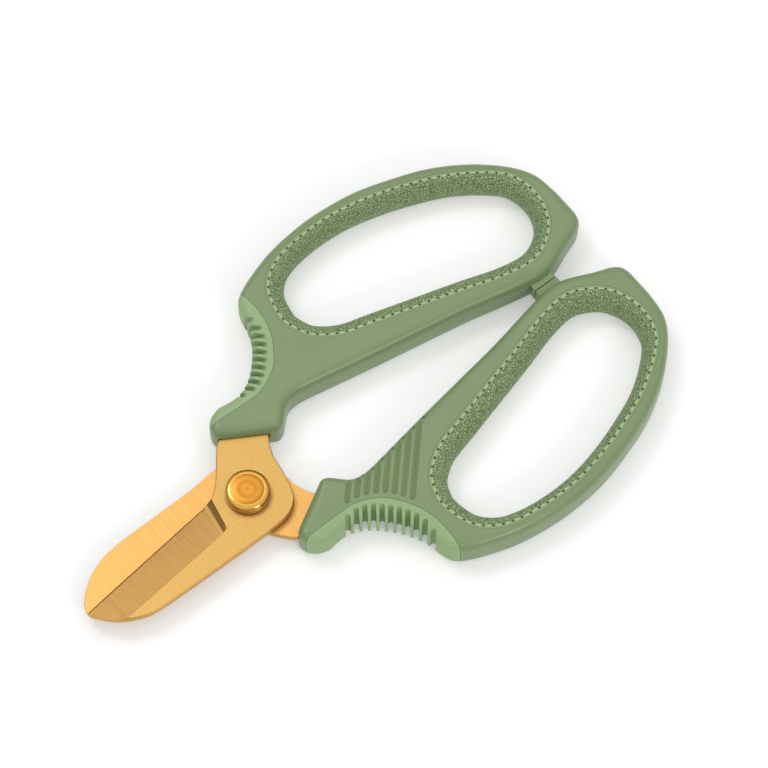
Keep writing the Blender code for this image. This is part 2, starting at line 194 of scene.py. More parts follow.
def heightOver(curve, along, across, place):
    ways = curve @ across
    order = np.argsort(ways)
    return np.interp(place, ways[order], (curve @ along)[order])


def srgb(code):
    parts = [int(code[i:i + 2], 16) / 255 for i in (0, 2, 4)]
    return (*[c / 12.92 if c <= 0.04045 else ((c + 0.055) / 1.055) ** 2.4 for c in parts], 1)


def addNode(tree, kind, settings=None, links=None):
    # one node: attributes by name, sockets by name or number, and links into it
    node = tree.nodes.new(kind)
    for key, value in (settings or {}).items():
        if isinstance(key, int) or key[0].isupper():
            node.inputs[key].default_value = value
        else:
            setattr(node, key, value)
    for socket, source in (links or {}).items():
        tree.links.new(source, node.inputs[socket])
    return node


def newMaterial(name, metallic, roughness):
    made = bpy.data.materials.new(name)
    made.use_nodes = True
    shader = made.node_tree.nodes["Principled BSDF"]
    shader.inputs["Metallic"].default_value = metallic
    shader.inputs["Roughness"].default_value = roughness
    return made, made.node_tree, shader


cloudMm = 14  # size of the faint changes of colour in moulded plastic


def mouldedPlastic(name, low, high, roughness, grainMm, bumpMm):
    # moulded polymer: an even colour with a faint cloudiness, and the fine spark-eroded texture of its tool
    made, tree, shader = newMaterial(name, 0, roughness)
    place = addNode(tree, "ShaderNodeTexCoord").outputs["Object"]
    cloud = addNode(tree, "ShaderNodeTexNoise", {"Scale": 1000 / cloudMm, "Detail": 2.0}, {"Vector": place})
    grain = addNode(tree, "ShaderNodeTexNoise", {"Scale": 1000 / grainMm, "Detail": 3.0}, {"Vector": place})
    colour = addNode(tree, "ShaderNodeMix", {"data_type": "RGBA", 6: srgb(low), 7: srgb(high)}, {0: cloud.outputs[0]})
    tree.links.new(colour.outputs[2], shader.inputs["Base Color"])
    bump = addNode(tree, "ShaderNodeBump", {"Strength": 1.0, "Distance": bumpMm / 1000}, {"Height": grain.outputs[0]})
    tree.links.new(bump.outputs[0], shader.inputs["Normal"])
    return made


grainShape = {
    "cellMm": 0.75,
    "warpMm": 0.9,  # size of the wobble that makes the cells irregular
    "warpBy": 0.35,
    "creaseShare": 0.22,  # of a cell's size, from its edge to its crest
    "bumpMm": 0.14,
    "grainFrom": (0.10, 0.45),  # millimetres inwards from the stitches over which the smooth rim turns to grain
    "holeRadius": (0.28, 0.42),  # radius of its dark middle and of its soft edge
    "roughness": 0.55,
}


def grainedLiner(name, creaseShade, crest, rim, needleShade, pitch):
    # soft moulded rubber with a leather grain: raised cells, with painted shade darkening the creases between them
    g = grainShape
    made, tree, shader = newMaterial(name, 0, g["roughness"])
    place = addNode(tree, "ShaderNodeTexCoord").outputs["Object"]
    warp = addNode(tree, "ShaderNodeTexNoise", {"Scale": 1000 / g["warpMm"], "Detail": 2.0}, {"Vector": place})
    shifted = addNode(tree, "ShaderNodeMix", {"data_type": "VECTOR", 0: g["warpBy"] / 1000})
    tree.links.new(place, shifted.inputs[4])
    tree.links.new(warp.outputs["Color"], shifted.inputs[5])
    cells = addNode(tree, "ShaderNodeTexVoronoi", {"feature": "DISTANCE_TO_EDGE", "Scale": 1000 / g["cellMm"]},
                    {"Vector": shifted.outputs[1]})
    rise = addNode(tree, "ShaderNodeMapRange", {"From Min": 0.0, "From Max": g["creaseShare"]},
                   {"Value": cells.outputs["Distance"]})
    uv = addNode(tree, "ShaderNodeUVMap", {"uv_map": "stitch"}).outputs[0]
    split = addNode(tree, "ShaderNodeSeparateXYZ", links={0: uv})
    inside = addNode(tree, "ShaderNodeMapRange", {"From Min": g["grainFrom"][0], "From Max": g["grainFrom"][1]},
                     {"Value": split.outputs[1]})
    # the crease colour is painted shade in the creases, mixed in by the same distance that raises the cells
    grain = addNode(tree, "ShaderNodeMix", {"data_type": "RGBA", 6: srgb(creaseShade), 7: srgb(crest)}, {0: rise.outputs[0]})
    # the smooth rim's colour is the rubber's own, made lighter as a painted highlight along the ridge outside the
    # stitches
    rimmed = addNode(tree, "ShaderNodeMix", {"data_type": "RGBA", 6: srgb(rim)},
                     {0: inside.outputs[0], 7: grain.outputs[2]})
    # needle holes: round dots of painted shade on the stitch line, midway between one stitch and the next; no hole is
    # cut
    turn = addNode(tree, "ShaderNodeMath", {"operation": "FRACT"}, {0: split.outputs[0]})
    middle = addNode(tree, "ShaderNodeMath", {"operation": "SUBTRACT", 1: 0.5}, {0: turn.outputs[0]})
    along = addNode(tree, "ShaderNodeMath", {"operation": "MULTIPLY", 1: pitch}, {0: middle.outputs[0]})
    spot = addNode(tree, "ShaderNodeCombineXYZ", links={0: along.outputs[0], 1: split.outputs[1]})
    away = addNode(tree, "ShaderNodeVectorMath", {"operation": "LENGTH"}, {0: spot.outputs[0]})
    hole = addNode(tree, "ShaderNodeMapRange", {"From Min": g["holeRadius"][0], "From Max": g["holeRadius"][1]},
                   {"Value": away.outputs["Value"]})
    dark = addNode(tree, "ShaderNodeMix", {"data_type": "RGBA", 6: srgb(needleShade)},
                   {0: hole.outputs[0], 7: rimmed.outputs[2]})
    tree.links.new(dark.outputs[2], shader.inputs["Base Color"])
    height = addNode(tree, "ShaderNodeMath", {"operation": "MULTIPLY"}, {0: rise.outputs[0], 1: inside.outputs[0]})
    bump = addNode(tree, "ShaderNodeBump", {"Strength": 1.0, "Distance": g["bumpMm"] / 1000},
                   {"Height": height.outputs[0]})
    tree.links.new(bump.outputs[0], shader.inputs["Normal"])
    return made


steelGrain = {
    "detail": 3.0,
    "fray": 0.65,
    "contrast": (0.3, 0.7),  # the part of the noise that runs from the first colour to the second
    "glossier": 0.06,
    "duller": 0.08,
}


def coatedSteel(name, low, high, roughness, apartMm, lengthMm, bumpMm):
    # steel ground or blasted, then coated gold: scratches apartMm from each other and lengthMm long, square to the
    # blade; equal sizes give the even sparkle of a blasted face
    g = steelGrain
    made, tree, shader = newMaterial(name, 1, roughness)
    place = addNode(tree, "ShaderNodeTexCoord").outputs["Object"]
    lines = addNode(tree, "ShaderNodeMapping", {"Scale": (1000 / apartMm, 1000 / lengthMm, 1000 / lengthMm)},
                    {"Vector": place})
    fine = addNode(tree, "ShaderNodeTexNoise", {"Scale": 1.0, "Detail": g["detail"], "Roughness": g["fray"]},
                   {"Vector": lines.outputs[0]})
    spread = addNode(tree, "ShaderNodeMapRange", {"From Min": g["contrast"][0], "From Max": g["contrast"][1]},
                     {"Value": fine.outputs[0]})
    colour = addNode(tree, "ShaderNodeMix", {"data_type": "RGBA", 6: srgb(low), 7: srgb(high)}, {0: spread.outputs[0]})
    tree.links.new(colour.outputs[2], shader.inputs["Base Color"])
    gloss = addNode(tree, "ShaderNodeMapRange",
                    {"To Min": roughness - g["glossier"], "To Max": roughness + g["duller"]},
                    {"Value": fine.outputs[0]})
    tree.links.new(gloss.outputs[0], shader.inputs["Roughness"])
    bump = addNode(tree, "ShaderNodeBump", {"Strength": 1.0, "Distance": bumpMm / 1000}, {"Height": fine.outputs[0]})
    tree.links.new(bump.outputs[0], shader.inputs["Normal"])
    return made


def turnedGold(name, low, high, roughness, radianMm, bumpMm):
    # turned on a lathe: rings round the rivet's axis. The wave texture turns 20 radians a unit, so the rings are
    # 2 pi times radianMm apart
    made, tree, shader = newMaterial(name, 1, roughness)
    place = addNode(tree, "ShaderNodeTexCoord").outputs["Object"]
    centred = addNode(tree, "ShaderNodeMapping", {"Location": tuple(-pivot)}, {"Vector": place})
    rings = addNode(tree, "ShaderNodeTexWave",
                    {"wave_type": "RINGS", "rings_direction": "Z", "Scale": 1000 / (radianMm * 20), "Distortion": 1.5,
                     "Detail": 2.0}, {"Vector": centred.outputs[0]})
    colour = addNode(tree, "ShaderNodeMix", {"data_type": "RGBA", 6: srgb(low), 7: srgb(high)}, {0: rings.outputs[1]})
    tree.links.new(colour.outputs[2], shader.inputs["Base Color"])
    bump = addNode(tree, "ShaderNodeBump", {"Strength": 1.0, "Distance": bumpMm / 1000}, {"Height": rings.outputs[1]})
    tree.links.new(bump.outputs[0], shader.inputs["Normal"])
    return made


levelFace = 0.99995  # a face whose normal has at least this much up or down in it is shaded flat


def finish(item, body, node, materials, angle=32):
    # materials, shading that is sharp past the angle in degrees, and the body, slot and CAD node it stands for
    item.data.materials.clear()
    for material in materials:
        item.data.materials.append(material)
    item.data.shade_smooth()
    item.data.set_sharp_from_angle(angle=math.radians(angle))
    normal = np.zeros(len(item.data.polygons) * 3)
    item.data.polygons.foreach_get("normal", normal)
    item.data.polygons.foreach_set("use_smooth", np.abs(normal[2::3]) < levelFace)
    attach(item, body)
    if node:
        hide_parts(node)
    return item


# Plan sketches are in millimetres: how far back from the pivot, and how far out towards the half's own loop.
handleShape = {
    "frontFace": [(17.4, 9.2), (3.6, 17.3)],
    "frontCorner": [(3.6, 17.3), (2.7, 19.0), (3.2, 21.3), (5.2, 23.5), (8.3, 24.7)],
    "scallop": [(8.3, 24.7), (14.6, 24.2), (20.0, 26.4), (24.7, 30.8), (28.0, 35.3), (30.0, 39.5), (30.9, 43.8)],
    "outerArch": [
        (30.9, 43.8), (32.3, 47.2), (36.0, 49.8), (42.5, 52.4), (50.0, 54.5), (60.0, 55.8), (69.0, 55.8),
        (79.0, 54.6), (90.0, 51.5), (99.5, 47.9), (109.0, 42.2), (117.0, 35.0), (121.5, 28.0), (122.7, 20.0),
    ],
    "rearEnd": [(122.7, 20.0), (122.7, 11.8)],
    "rearCorner": [(122.7, 11.8), (121.9, 9.1), (119.4, 7.2)],
    "bar": [
        (119.4, 7.2), (115.0, 5.7), (106.0, 2.2), (98.0, 2.4), (80.0, 6.1), (65.0, 8.6), (50.0, 11.1), (35.0, 13.8),
    ],
    "neckBend": [(35.0, 13.8), (28.5, 14.8), (24.3, 14.2), (21.6, 11.9), (19.4, 9.8), (17.4, 9.2)],
    "spacing": 0.55,
    "soften": 0.7,  # how far a corner is eased along the outline
    "half": 5.2,
    "round": 2.7,
    "roundSteps": 9,
    "stop": (98.9, 106.1, 0.15, 4.5, 2.5),  # front, rear, closing face, root, half its thickness
    "seatSpacing": 0.4,
    "pocketSpacing": 0.5,
    "pocketGap": 0.25,  # left round the tang
    "plastic": ("788C62", "819668", 0.33, 0.30, 0.012),  # two colours, roughness, grain size and depth
}
fluteShape = {
    "count": 8, "pitch": 2.47, "start": 26.7, "heading": 133.0, "margin": 1.3,
    "width": 1.7, "depth": 0.75, "startDepth": 0.05, "fadeIn": 0.6, "wrap": 75.0, "wrapSteps": 9, "clear": 0.6,
    "spacing": 0.5,
}
sagePlastic = mouldedPlastic("mouldedSagePlastic", *handleShape["plastic"])


def handleOutline():
    h = handleShape
    fine = h["spacing"]
    line = joinRuns(
        h["frontFace"], smoothCurve(h["frontCorner"], fine), smoothCurve(h["scallop"], fine),
        smoothCurve(h["outerArch"], fine), h["rearEnd"], smoothCurve(h["rearCorner"], fine),
        smoothCurve(h["bar"], fine), smoothCurve(h["neckBend"], fine))
    return softened(evenOutline(line, fine), fine, h["soften"])


def roundedSlab(name, half):
    # each ring is the outline moved in by r(1 - sin a) and lowered by r(1 - cos a): a quarter round on every long edge
    h = handleShape
    line = handleOutline()
    reach = cornerRoom(line, h["spacing"], h["round"])
    angles = np.linspace(0, math.pi / 2, h["roundSteps"] + 1)
    upper = [atHeight(grown(line, -reach * (1 - math.sin(a))), h["half"] - h["round"] * (1 - math.cos(a)))
             for a in angles]
    lower = [ring * (1, 1, -1) for ring in upper]
    return loft(name, lower + upper[::-1], half)


def cutFlutes(item, half):
    # a V carried along each flute: level over the flat, then round the bar's edge on the same quarter circle
    f, h = fluteShape, handleShape
    along, across = ribAxes(f["heading"])
    arc = smoothCurve(padShape["arc"][1:-1], f["spacing"])
    edge = np.vstack([smoothCurve(h["bar"], f["spacing"]), smoothCurve(h["neckBend"], f["spacing"])])
    bend = np.radians(np.linspace(0, f["wrap"], f["wrapSteps"]))
    for place in f["start"] + f["pitch"] * np.arange(f["count"]):
        first = heightOver(arc, along, across, place) - f["margin"]
        last = heightOver(edge, along, across, place)
        way = np.concatenate([[first, first - f["fadeIn"]], last + h["round"] * (1 - np.sin(bend))])
        drop = np.concatenate([[0, 0], h["round"] * (1 - np.cos(bend))])
        tilt = np.concatenate([[0, 0], bend])
        depth = np.concatenate([[f["startDepth"]], np.full(len(way) - 1, f["depth"])])
        rings = []
        for level, share in ((-1, 0), (f["clear"], -1), (f["clear"], 1)):  # the V's root, then its two upper corners
            rise = np.where(level < 0, -depth, level)
            wide = share * f["width"] / 2 * (f["clear"] + depth) / f["depth"]
            plan = (way - rise * np.sin(tilt))[:, None] * along + (place + wide)[:, None] * across
            rings.append(np.column_stack([plan, -(h["half"] - drop + rise * np.cos(tilt))]))
        combine(item, loft("flute", np.stack(rings, axis=1), half), "DIFFERENCE")


def makeHandle(half):
    # the rounded block with its stop, less the liner's seat, the pad's recess and a pocket for the tang, then fluted
    h, b = handleShape, bladeShape
    beyond = h["half"] + cutRoom
    item = roundedSlab(half + "HandleBody", half)
    front, rear, face, root, thick = h["stop"]
    stop = np.array([(front, face), (rear, face), (rear, root), (front, root)])
    combine(item, slab("stop", stop, -thick, thick, half), "UNION")
    stitches = evenOutline(smoothCurve(loopShape["stitchLine"], h["seatSpacing"], closed=True), h["seatSpacing"])
    seat = grown(stitches, loopShape["rim"] + loopShape["gap"])
    combine(item, slab("seat", seat, -beyond, beyond, half), "DIFFERENCE")
    combine(item, slab("recess", grown(padRegion(), padShape["gap"]), -beyond, beyond, half), "DIFFERENCE")
    pocket = grown(evenOutline(bladeOutline(half), h["pocketSpacing"]), h["pocketGap"])
    combine(item, slab("pocket", pocket, b["bottom"] - h["pocketGap"], b["top"] + h["pocketGap"], half), "DIFFERENCE")
    cutFlutes(item, half)
    return finish(item, half + "_half", half + "_handle", [sagePlastic])


padShape = {
    "arc": [
        (2.2, 21.6), (4.5, 21.0), (8.0, 20.9), (13.4, 20.7), (20.0, 21.0), (26.5, 24.0), (30.2, 28.2), (33.0, 33.2),
        (34.5, 39.5), (34.3, 46.3), (33.4, 50.5),
    ],
    "outside": [(10.0, 60.0), (-12.0, 40.0), (-3.0, 22.0)],
    "gap": 0.10,
    "slots": 11,
    "pitch": 2.25,
    "width": 1.42,
    "depth": 2.2,  # at mid-height
    "runOut": 2.3,  # how much further in a slot reaches at the faces
    "shift": 1.6,
    "heading": 128.0,
    "fan": 4.0,  # degrees that the end slots lean from the middle one
    "endEase": 0.45,  # share by which the end slots are shallower
    "cutterOut": 5.0,  # how far a slot's cutter stands out past the wall
    "cutterUp": 1.0,  # and past the faces
    "noseSteps": 9,
    "levels": 15,
    "spacing": 0.5,
    "wallSpacing": 0.3,
    "rubber": ("8DA874", "98B280", 0.55, 0.22, 0.010),  # two colours, roughness, grain size and depth
}
padRubber = mouldedPlastic("softMouldedRubber", *padShape["rubber"])


def padRegion():
    p = padShape
    return evenOutline(joinRuns(smoothCurve(p["arc"], p["spacing"]), [p["arc"][-1], *p["outside"], p["arc"][0]]),
                       p["spacing"])


def makePad(half):
    # the handle's own rounded block kept inside the pad's region; each slot has a round inner end and reaches further
    # in by the square of its height over the half thickness
    p, h = padShape, handleShape
    item = roundedSlab(half + "ThumbPad", half)
    combine(item, slab("region", padRegion(), -h["half"] - cutRoom, h["half"] + cutRoom, half), "INTERSECT")
    wall = smoothCurve(h["scallop"], p["wallSpacing"])
    along, across = ribAxes(p["heading"])
    ends = wall[[0, -1]] @ across
    number = np.arange(p["slots"]) - (p["slots"] - 1) / 2
    for n in number:
        place = ends.mean() + p["shift"] + n * p["pitch"]
        mouth = along * heightOver(wall, along, across, place) + across * place
        lean = p["heading"] + p["fan"] * n / number.max()
        way, side = ribAxes(lean)
        ease = 1 - p["endEase"] * (abs(n) / number.max()) ** 4
        a = np.linspace(0, math.pi, p["noseSteps"])
        heights = np.linspace(-h["half"] - p["cutterUp"], h["half"] + p["cutterUp"], p["levels"])
        reach = ease * (p["depth"] + p["runOut"] * np.minimum(1, np.abs(heights) / h["half"]) ** 2)
        wide = p["width"] / 2
        tip = -np.sin(a)[None, :, None] * way * wide + np.cos(a)[None, :, None] * side * wide
        inner = mouth - way * (reach[:, None, None] - wide) + tip
        outer = np.broadcast_to(mouth + way * p["cutterOut"] + np.array([-side, side]) * wide, (p["levels"], 2, 2))
        plan = np.concatenate([inner, outer], axis=1)
        rings = np.concatenate([plan, np.broadcast_to(heights[:, None, None], (*plan.shape[:2], 1))], axis=2)
        combine(item, loft("slot", rings, half), "DIFFERENCE")
    return finish(item, half + "_half", half + "_thumb_pad", [padRubber])


loopShape = {
    "stitchLine": [
        (38.4, 36.0), (40.4, 43.8), (45.5, 49.0), (52.5, 51.4), (62.0, 52.3), (72.0, 51.8), (82.0, 49.7), (92.0, 46.4),
        (101.5, 42.3), (110.0, 36.8), (115.3, 31.5), (117.3, 24.5), (116.3, 17.5), (112.3, 11.2), (104.5, 7.2),
        (95.0, 8.0), (83.0, 11.6), (71.0, 15.0), (58.0, 18.7), (48.5, 21.5), (42.0, 26.0), (39.2, 31.0),
    ],
    "curveSpacing": 0.2,
    "spacing": 0.35,
    "rim": 0.9,
    "gap": 0.05,
    "swellOuter": 3.1,
    "swellBar": 4.3,
    "swellRear": 3.7,
    "rearReach": 12,  # the rear swell is eased in over this much
    "sideLean": 0.45,  # how far the line between bar side and arch side drops towards the rear
    "sideEase": 4,  # the swell changes over a quarter of the loop's width
    "swellWindow": 41,
    "faceStrip": 0.75,  # the rings on a face end this far inside the stitches
    "faceSteps": 16,
    "roundSteps": 32,
    "ridge": 0.11,
    "ridgeAt": 0.62,
    "ridgeWidth": 0.2,
    "groove": 0.10,
    "grooveWidth": 0.3,
    "rimDip": 0.05,
    "rimEase": 0.15,
    "beyondFace": 5.0,  # v on the rounded inside, well past the grain's start
    "stitchPitch": 2.7,
    "stitchLength": 2.05,
    "threadWidth": 0.38,
    "threadFlat": 0.55,  # its height as a share of its width
    "threadSink": 0.08,
    "threadArch": 0.16,
    "threadEnd": 0.02,
    "threadSteps": 9,
    "threadSides": 6,
    # painted shade in the creases of the grain
    "creaseShade": "55693F",
    "crest": "9DB380",
    # the rubber's own smooth colour, made lighter as a painted highlight along its ridge
    "smoothRimAndSheen": "8DA373",
    # painted shade for the inside of the needle holes
    "needleHoleShade": "38472A",
    "thread": ("AFC794", "C3D7AA", 0.6, 0.18, 0.03),  # two colours, roughness, grain size and depth
}
linerRubber = grainedLiner("leatherGrainRubber", loopShape["creaseShade"], loopShape["crest"], loopShape["smoothRimAndSheen"],
                           loopShape["needleHoleShade"], loopShape["stitchPitch"])
thread = mouldedPlastic("spunPolyesterThread", *loopShape["thread"])


def linerSwell(line):
    # deepest on the bar side, least along the outer arch, eased between them and round the rear end
    s = loopShape
    back, out = line.T
    rearwards = (back - back.min()) / np.ptp(back)
    middle = out.min() + np.ptp(out) * (1 - s["sideLean"] * rearwards)
    side = np.clip((middle - out) / np.ptp(out) * s["sideEase"] + 0.5, 0, 1)
    rear = np.clip(1 - (back.max() - back) / s["rearReach"], 0, 1)
    swell = s["swellOuter"] + (s["swellBar"] - s["swellOuter"]) * side
    swell = swell + (s["swellRear"] - swell) * rear
    return circular(swell, np.ones(s["swellWindow"]))


def linerLine():
    return evenOutline(smoothCurve(loopShape["stitchLine"], loopShape["curveSpacing"], closed=True),
                       loopShape["spacing"])


def makeLiner(half):
    # section: a half ellipse into the loop; on each face a groove at the stitches and a low bead at the rim
    s, top = loopShape, handleShape["half"]
    line = linerLine()
    swell = linerSwell(line)
    rim = np.linspace(-s["rim"], s["faceStrip"], s["faceSteps"])  # distance inwards from the stitch line
    bead = s["ridge"] * np.exp(-((rim + s["ridgeAt"]) / s["ridgeWidth"]) ** 2)
    bead = bead - s["groove"] * np.exp(-(rim / s["grooveWidth"]) ** 2)
    edge = np.clip((rim + s["rim"]) / s["rimEase"], 0, 1)
    rings = []
    easeIn = np.sqrt(np.clip(1 - (np.maximum(rim, 0)[:, None] / swell[None]) ** 2, 0, 1))
    face = top * easeIn + (bead * edge)[:, None] - s["rimDip"] * (1 - edge)[:, None]
    for distance, height in zip(rim, face):
        rings.append(np.column_stack([grown(line, -distance), height]))
    # carry on round the ellipse from where the face strip ends
    start = np.arcsin(np.clip(s["faceStrip"] / swell, 0, 1))
    for share in np.linspace(0, 1, s["roundSteps"])[1:-1]:
        a = start + (math.pi - 2 * start) * share
        rings.append(np.column_stack([grown(line, -swell * np.sin(a)), top * np.cos(a)]))
    for distance, height in zip(rim[::-1], face[::-1]):
        rings.append(np.column_stack([grown(line, -distance), -height]))
    item = loft(half + "LoopLiner", rings, half, closed=True)
    # UV "stitch": u counts stitches along the line, v is millimetres inwards from it
    count = len(line)
    length = np.linalg.norm(np.roll(line, -1, axis=0) - line, axis=1).sum()
    stitches = round(length / s["stitchPitch"])
    across = np.concatenate([rim, np.full(s["roundSteps"] - 2, s["beyondFace"]), rim[::-1]])
    layer = item.data.uv_layers.new(name="stitch")
    corner = np.zeros(len(item.data.loops), int)
    item.data.loops.foreach_get("vertex_index", corner)
    start = np.zeros(len(item.data.polygons), int)
    total = np.zeros(len(item.data.polygons), int)
    item.data.polygons.foreach_get("loop_start", start)
    item.data.polygons.foreach_get("loop_total", total)
    u = (corner % count) / count * stitches
    # the last face of each ring ends at the full count, not back at nought
    face = np.repeat(np.arange(len(start)), total)
    high = np.zeros(len(start))
    np.maximum.at(high, face, u)
    u = np.where((high[face] > stitches - 2) & (u == 0), stitches, u)
    layer.data.foreach_set("uv", np.column_stack([u, across[corner // count]]).ravel().astype(np.float32))
    return finish(item, half + "_half", half + "_loop_liner", [linerRubber], angle=60)


def makeStitches(half):
    # each stitch is a closed bead of thread: a ring of half its width carried along the line, thinned at its two ends
    s, top = loopShape, handleShape["half"]
    line = linerLine()
    closed = np.vstack([line, line[:1]])
    along = np.concatenate([[0], np.cumsum(np.linalg.norm(np.diff(closed, axis=0), axis=1))])
    number = round(along[-1] / s["stitchPitch"])
    pitch = along[-1] / number
    step = np.linspace(-0.5, 0.5, s["threadSteps"])
    sides = s["threadSides"]
    angle = np.linspace(0, 2 * math.pi, sides, endpoint=False)
    centre = pitch * np.arange(number)[:, None] + step[None] * s["stitchLength"]
    wrapped = centre % along[-1]
    spot = np.stack([np.interp(wrapped, along, closed[:, axis]) for axis in (0, 1)], axis=-1)
    normal = outward(line)
    normal = np.vstack([normal, normal[:1]])
    way = np.stack([np.interp(wrapped, along, normal[:, axis]) for axis in (0, 1)], axis=-1)
    thick = np.sqrt(np.clip(1 - (2 * step) ** 4, s["threadEnd"], 1))
    arch = top - s["threadSink"] - s["threadArch"] * (2 * step) ** 2
    across = np.cos(angle)[None, None] * thick[None, :, None] * s["threadWidth"] / 2
    rise = np.sin(angle)[None, None] * thick[None, :, None] * s["threadWidth"] / 2 * s["threadFlat"]
    plan = spot[:, :, None] + way[:, :, None] * across[..., None]
    height = np.broadcast_to(arch[None, :, None] + rise, plan.shape[:3])
    one = np.concatenate([plan, height[..., None]], axis=3)
    both = np.concatenate([one, one * (1, 1, -1)])
    per = len(step) * sides
    tube = gridFaces(len(step), sides, False)
    base = (np.arange(len(both)) * per)[:, None, None]
    quads = (tube[None] + base).reshape(-1, 4).tolist()
    ends = np.stack([np.arange(sides), np.arange(sides) + per - sides])
    quads += (ends[None] + base).reshape(-1, sides).tolist()
    item = meshFrom(half + "LoopStitches", inHalf(both.reshape(-1, 3), half), quads)
    return finish(item, half + "_half", None, [thread], angle=60)


bladeShape = {
    "upperEdge": [(-8.6, 4.8), (-20.1, 3.4), (-31.0, 2.0), (-42.1, 0.6), (-53.0, -0.9)],
    "lowerEdge": [(-8.6, 4.8), (-20.1, 3.9), (-31.0, 3.1), (-42.1, 2.5), (-52.9, 1.9)],
    "upperPoint": [(-53.0, -0.9), (-54.0, -1.4), (-53.6, -2.7)],
    "lowerPoint": [(-52.9, 1.9), (-53.7, 1.3), (-53.7, 0.3)],
    "upperSpine": [
        (-53.6, -2.7), (-51.0, -5.9), (-48.0, -8.6), (-43.5, -11.0), (-38.5, -12.1), (-30.0, -12.3), (-12.0, -12.3),
    ],
    "lowerSpine": [
        (-53.7, 0.3), (-53.4, -0.7), (-52.8, -1.8), (-51.3, -3.6), (-49.3, -5.4), (-46.5, -7.4), (-42.0, -9.3),
        (-37.0, -10.3), (-30.0, -10.7), (-12.0, -11.1),
    ],
    "eye": [(-1.0, -12.1), (4.4, -11.6), (7.9, -9.8), (9.9, -6.9), (11.3, -1.3), (12.1, 4.6)],
    "tangInner": [(12.1, 4.6), (14.2, 9.3), (18.3, 13.4), (23.5, 16.3), (29.0, 16.7), (36.0, 15.9), (43.0, 14.6)],
    "tangEnd": [(43.0, 14.6), (43.4, 18.6), (39.5, 21.0)],
    "tangOuter": [(39.5, 21.0), (33.0, 23.2), (28.0, 22.4), (20.5, 19.2), (13.4, 18.6), (6.0, 18.4)],
    "shoulder": [(6.0, 18.4), (2.0, 16.4), (-3.3, 9.8), (-6.4, 6.4), (-8.6, 4.8)],
    "spacing": 0.4,
    "soften": 0.28,
    "bottom": 0.15,
    "top": 2.25,
    "edge": 0.5,  # thickness left at the ground edge
    "chamfer": 0.28,
    "backChamfer": 0.4,  # the inner face's chamfer as a share of the outer one's
    "grind": [(-8.5, 4.9), (-54.0, -1.0), (-54.0, -10.3), (-10.2, -5.1)],  # near edge, far edge, far flat, near flat
    "grindReach": (-0.5, 1.2),  # the cutter's two sides, as shares of the way from the edge to the flat
    "pastPoint": 1.2,  # and how far it runs, as a share of the edge's length
    "cutterTop": 9,
    "runOut": 2.7,
    "runOutSteps": 10,
    "hollow": 1.25,  # the power that curves the run-out
    "land": 0.12,  # upright thickness left under the fine bevel
    "fineBevel": 0.42,  # its width
    "fineReach": (-0.5, 1.0),  # its cutter's two sides, in millimetres from the edge
    "lowerFarEdge": 1.8,
    "bore": 3.3,
    "boreSides": 96,
    "boreRoom": 5,
    # two colours, roughness, and the size of the scratches across, along and deep
    "blasted": ("BC944E", "DBB26C", 0.42, 0.34, 0.34, 0.014),
    "ground": ("CF9D54", "E6B46C", 0.40, 0.17, 14.0, 0.006),
    # the bevel's colours are darker than the ground faces' as painted shade of its leaning face
    "bevelledShaded": ("9F7942", "B58D56", 0.38, 0.17, 12.0, 0.006),
    # the run-out's colours are dark as painted shade of its hollow, with a rougher finish
    "runOutShaded": ("6E532C", "86683C", 0.50, 0.30, 1.5, 0.010),
}
satinGold = coatedSteel("blastedGoldCoatedSteel", *bladeShape["blasted"])
groundGold = coatedSteel("groundGoldCoatedSteel", *bladeShape["ground"])
# rougher gold for the run-out, darkened with painted shade
runOutShadeGold = coatedSteel("runOutGoldPaintedShade", *bladeShape["runOutShaded"])
# the bevel's cross-ground gold, darkened with painted shade
bevelShadeGold = coatedSteel("crossGroundGoldPaintedShade", *bladeShape["bevelledShaded"])


def bladeOutline(which, spacing=0.5):
    b = bladeShape
    return joinRuns(
        b[which + "Edge"], b[which + "Point"], smoothCurve(b[which + "Spine"] + b["eye"], spacing),
        smoothCurve(b["tangInner"], spacing), b["tangEnd"], smoothCurve(b["tangOuter"], spacing),
        smoothCurve(b["shoulder"], spacing))


def leaningBlock(near, far):
    # a block whose floor is the strip between two lines of points, with upright sides and a level roof
    roof = (0, 0, bladeShape["cutterTop"])
    return np.stack([near, far, far * (1, 1, 0) + roof, near * (1, 1, 0) + roof], axis=1)


def grindBlocks(half):
    # first block: under it the leaning ground face, whose near end rises in a shallow hollow as a wheel leaves it
    # second block: the narrow steep bevel along the cutting edge
    b = bladeShape
    near, far, farFlat, nearFlat = [np.array(point, float) for point in b["grind"]]
    if half == "lower":
        far[1] = b["lowerFarEdge"]
    length = np.linalg.norm(far - near)
    share = np.append(np.linspace(0, b["runOut"] / length, b["runOutSteps"]), b["pastPoint"])
    rise = np.clip(1 - share * length / b["runOut"], 0, 1) ** b["hollow"]
    low, high = near + share[:, None] * (far - near), nearFlat + share[:, None] * (farFlat - nearFlat)
    edge = b["bottom"] + b["edge"]
    floors = []
    for reach in b["grindReach"]:
        plane = edge + reach * (b["top"] - edge)
        floors.append(np.column_stack([low + reach * (high - low), plane + (b["top"] - plane) * rise]))
    inward = (nearFlat - near) / np.linalg.norm(nearFlat - near)
    ends = np.stack([near + (far - near) * (b["runOut"] / length), near + b["pastPoint"] * (far - near)])
    slope = (b["edge"] - b["land"]) / b["fineBevel"]
    strips = [np.column_stack([ends + inward * reach, np.full(2, b["bottom"] + b["land"] + slope * reach)])
              for reach in b["fineReach"]]
    return leaningBlock(*floors), leaningBlock(*strips)


bladeFaces = {  # how much of a face's normal points away from the other blade, and its area in square metres
    "inner": -0.999, "bevelSteepest": 0.2, "bevelFlattest": 0.9995, "runOutFlattest": 0.97, "leastArea": 1e-6,
}


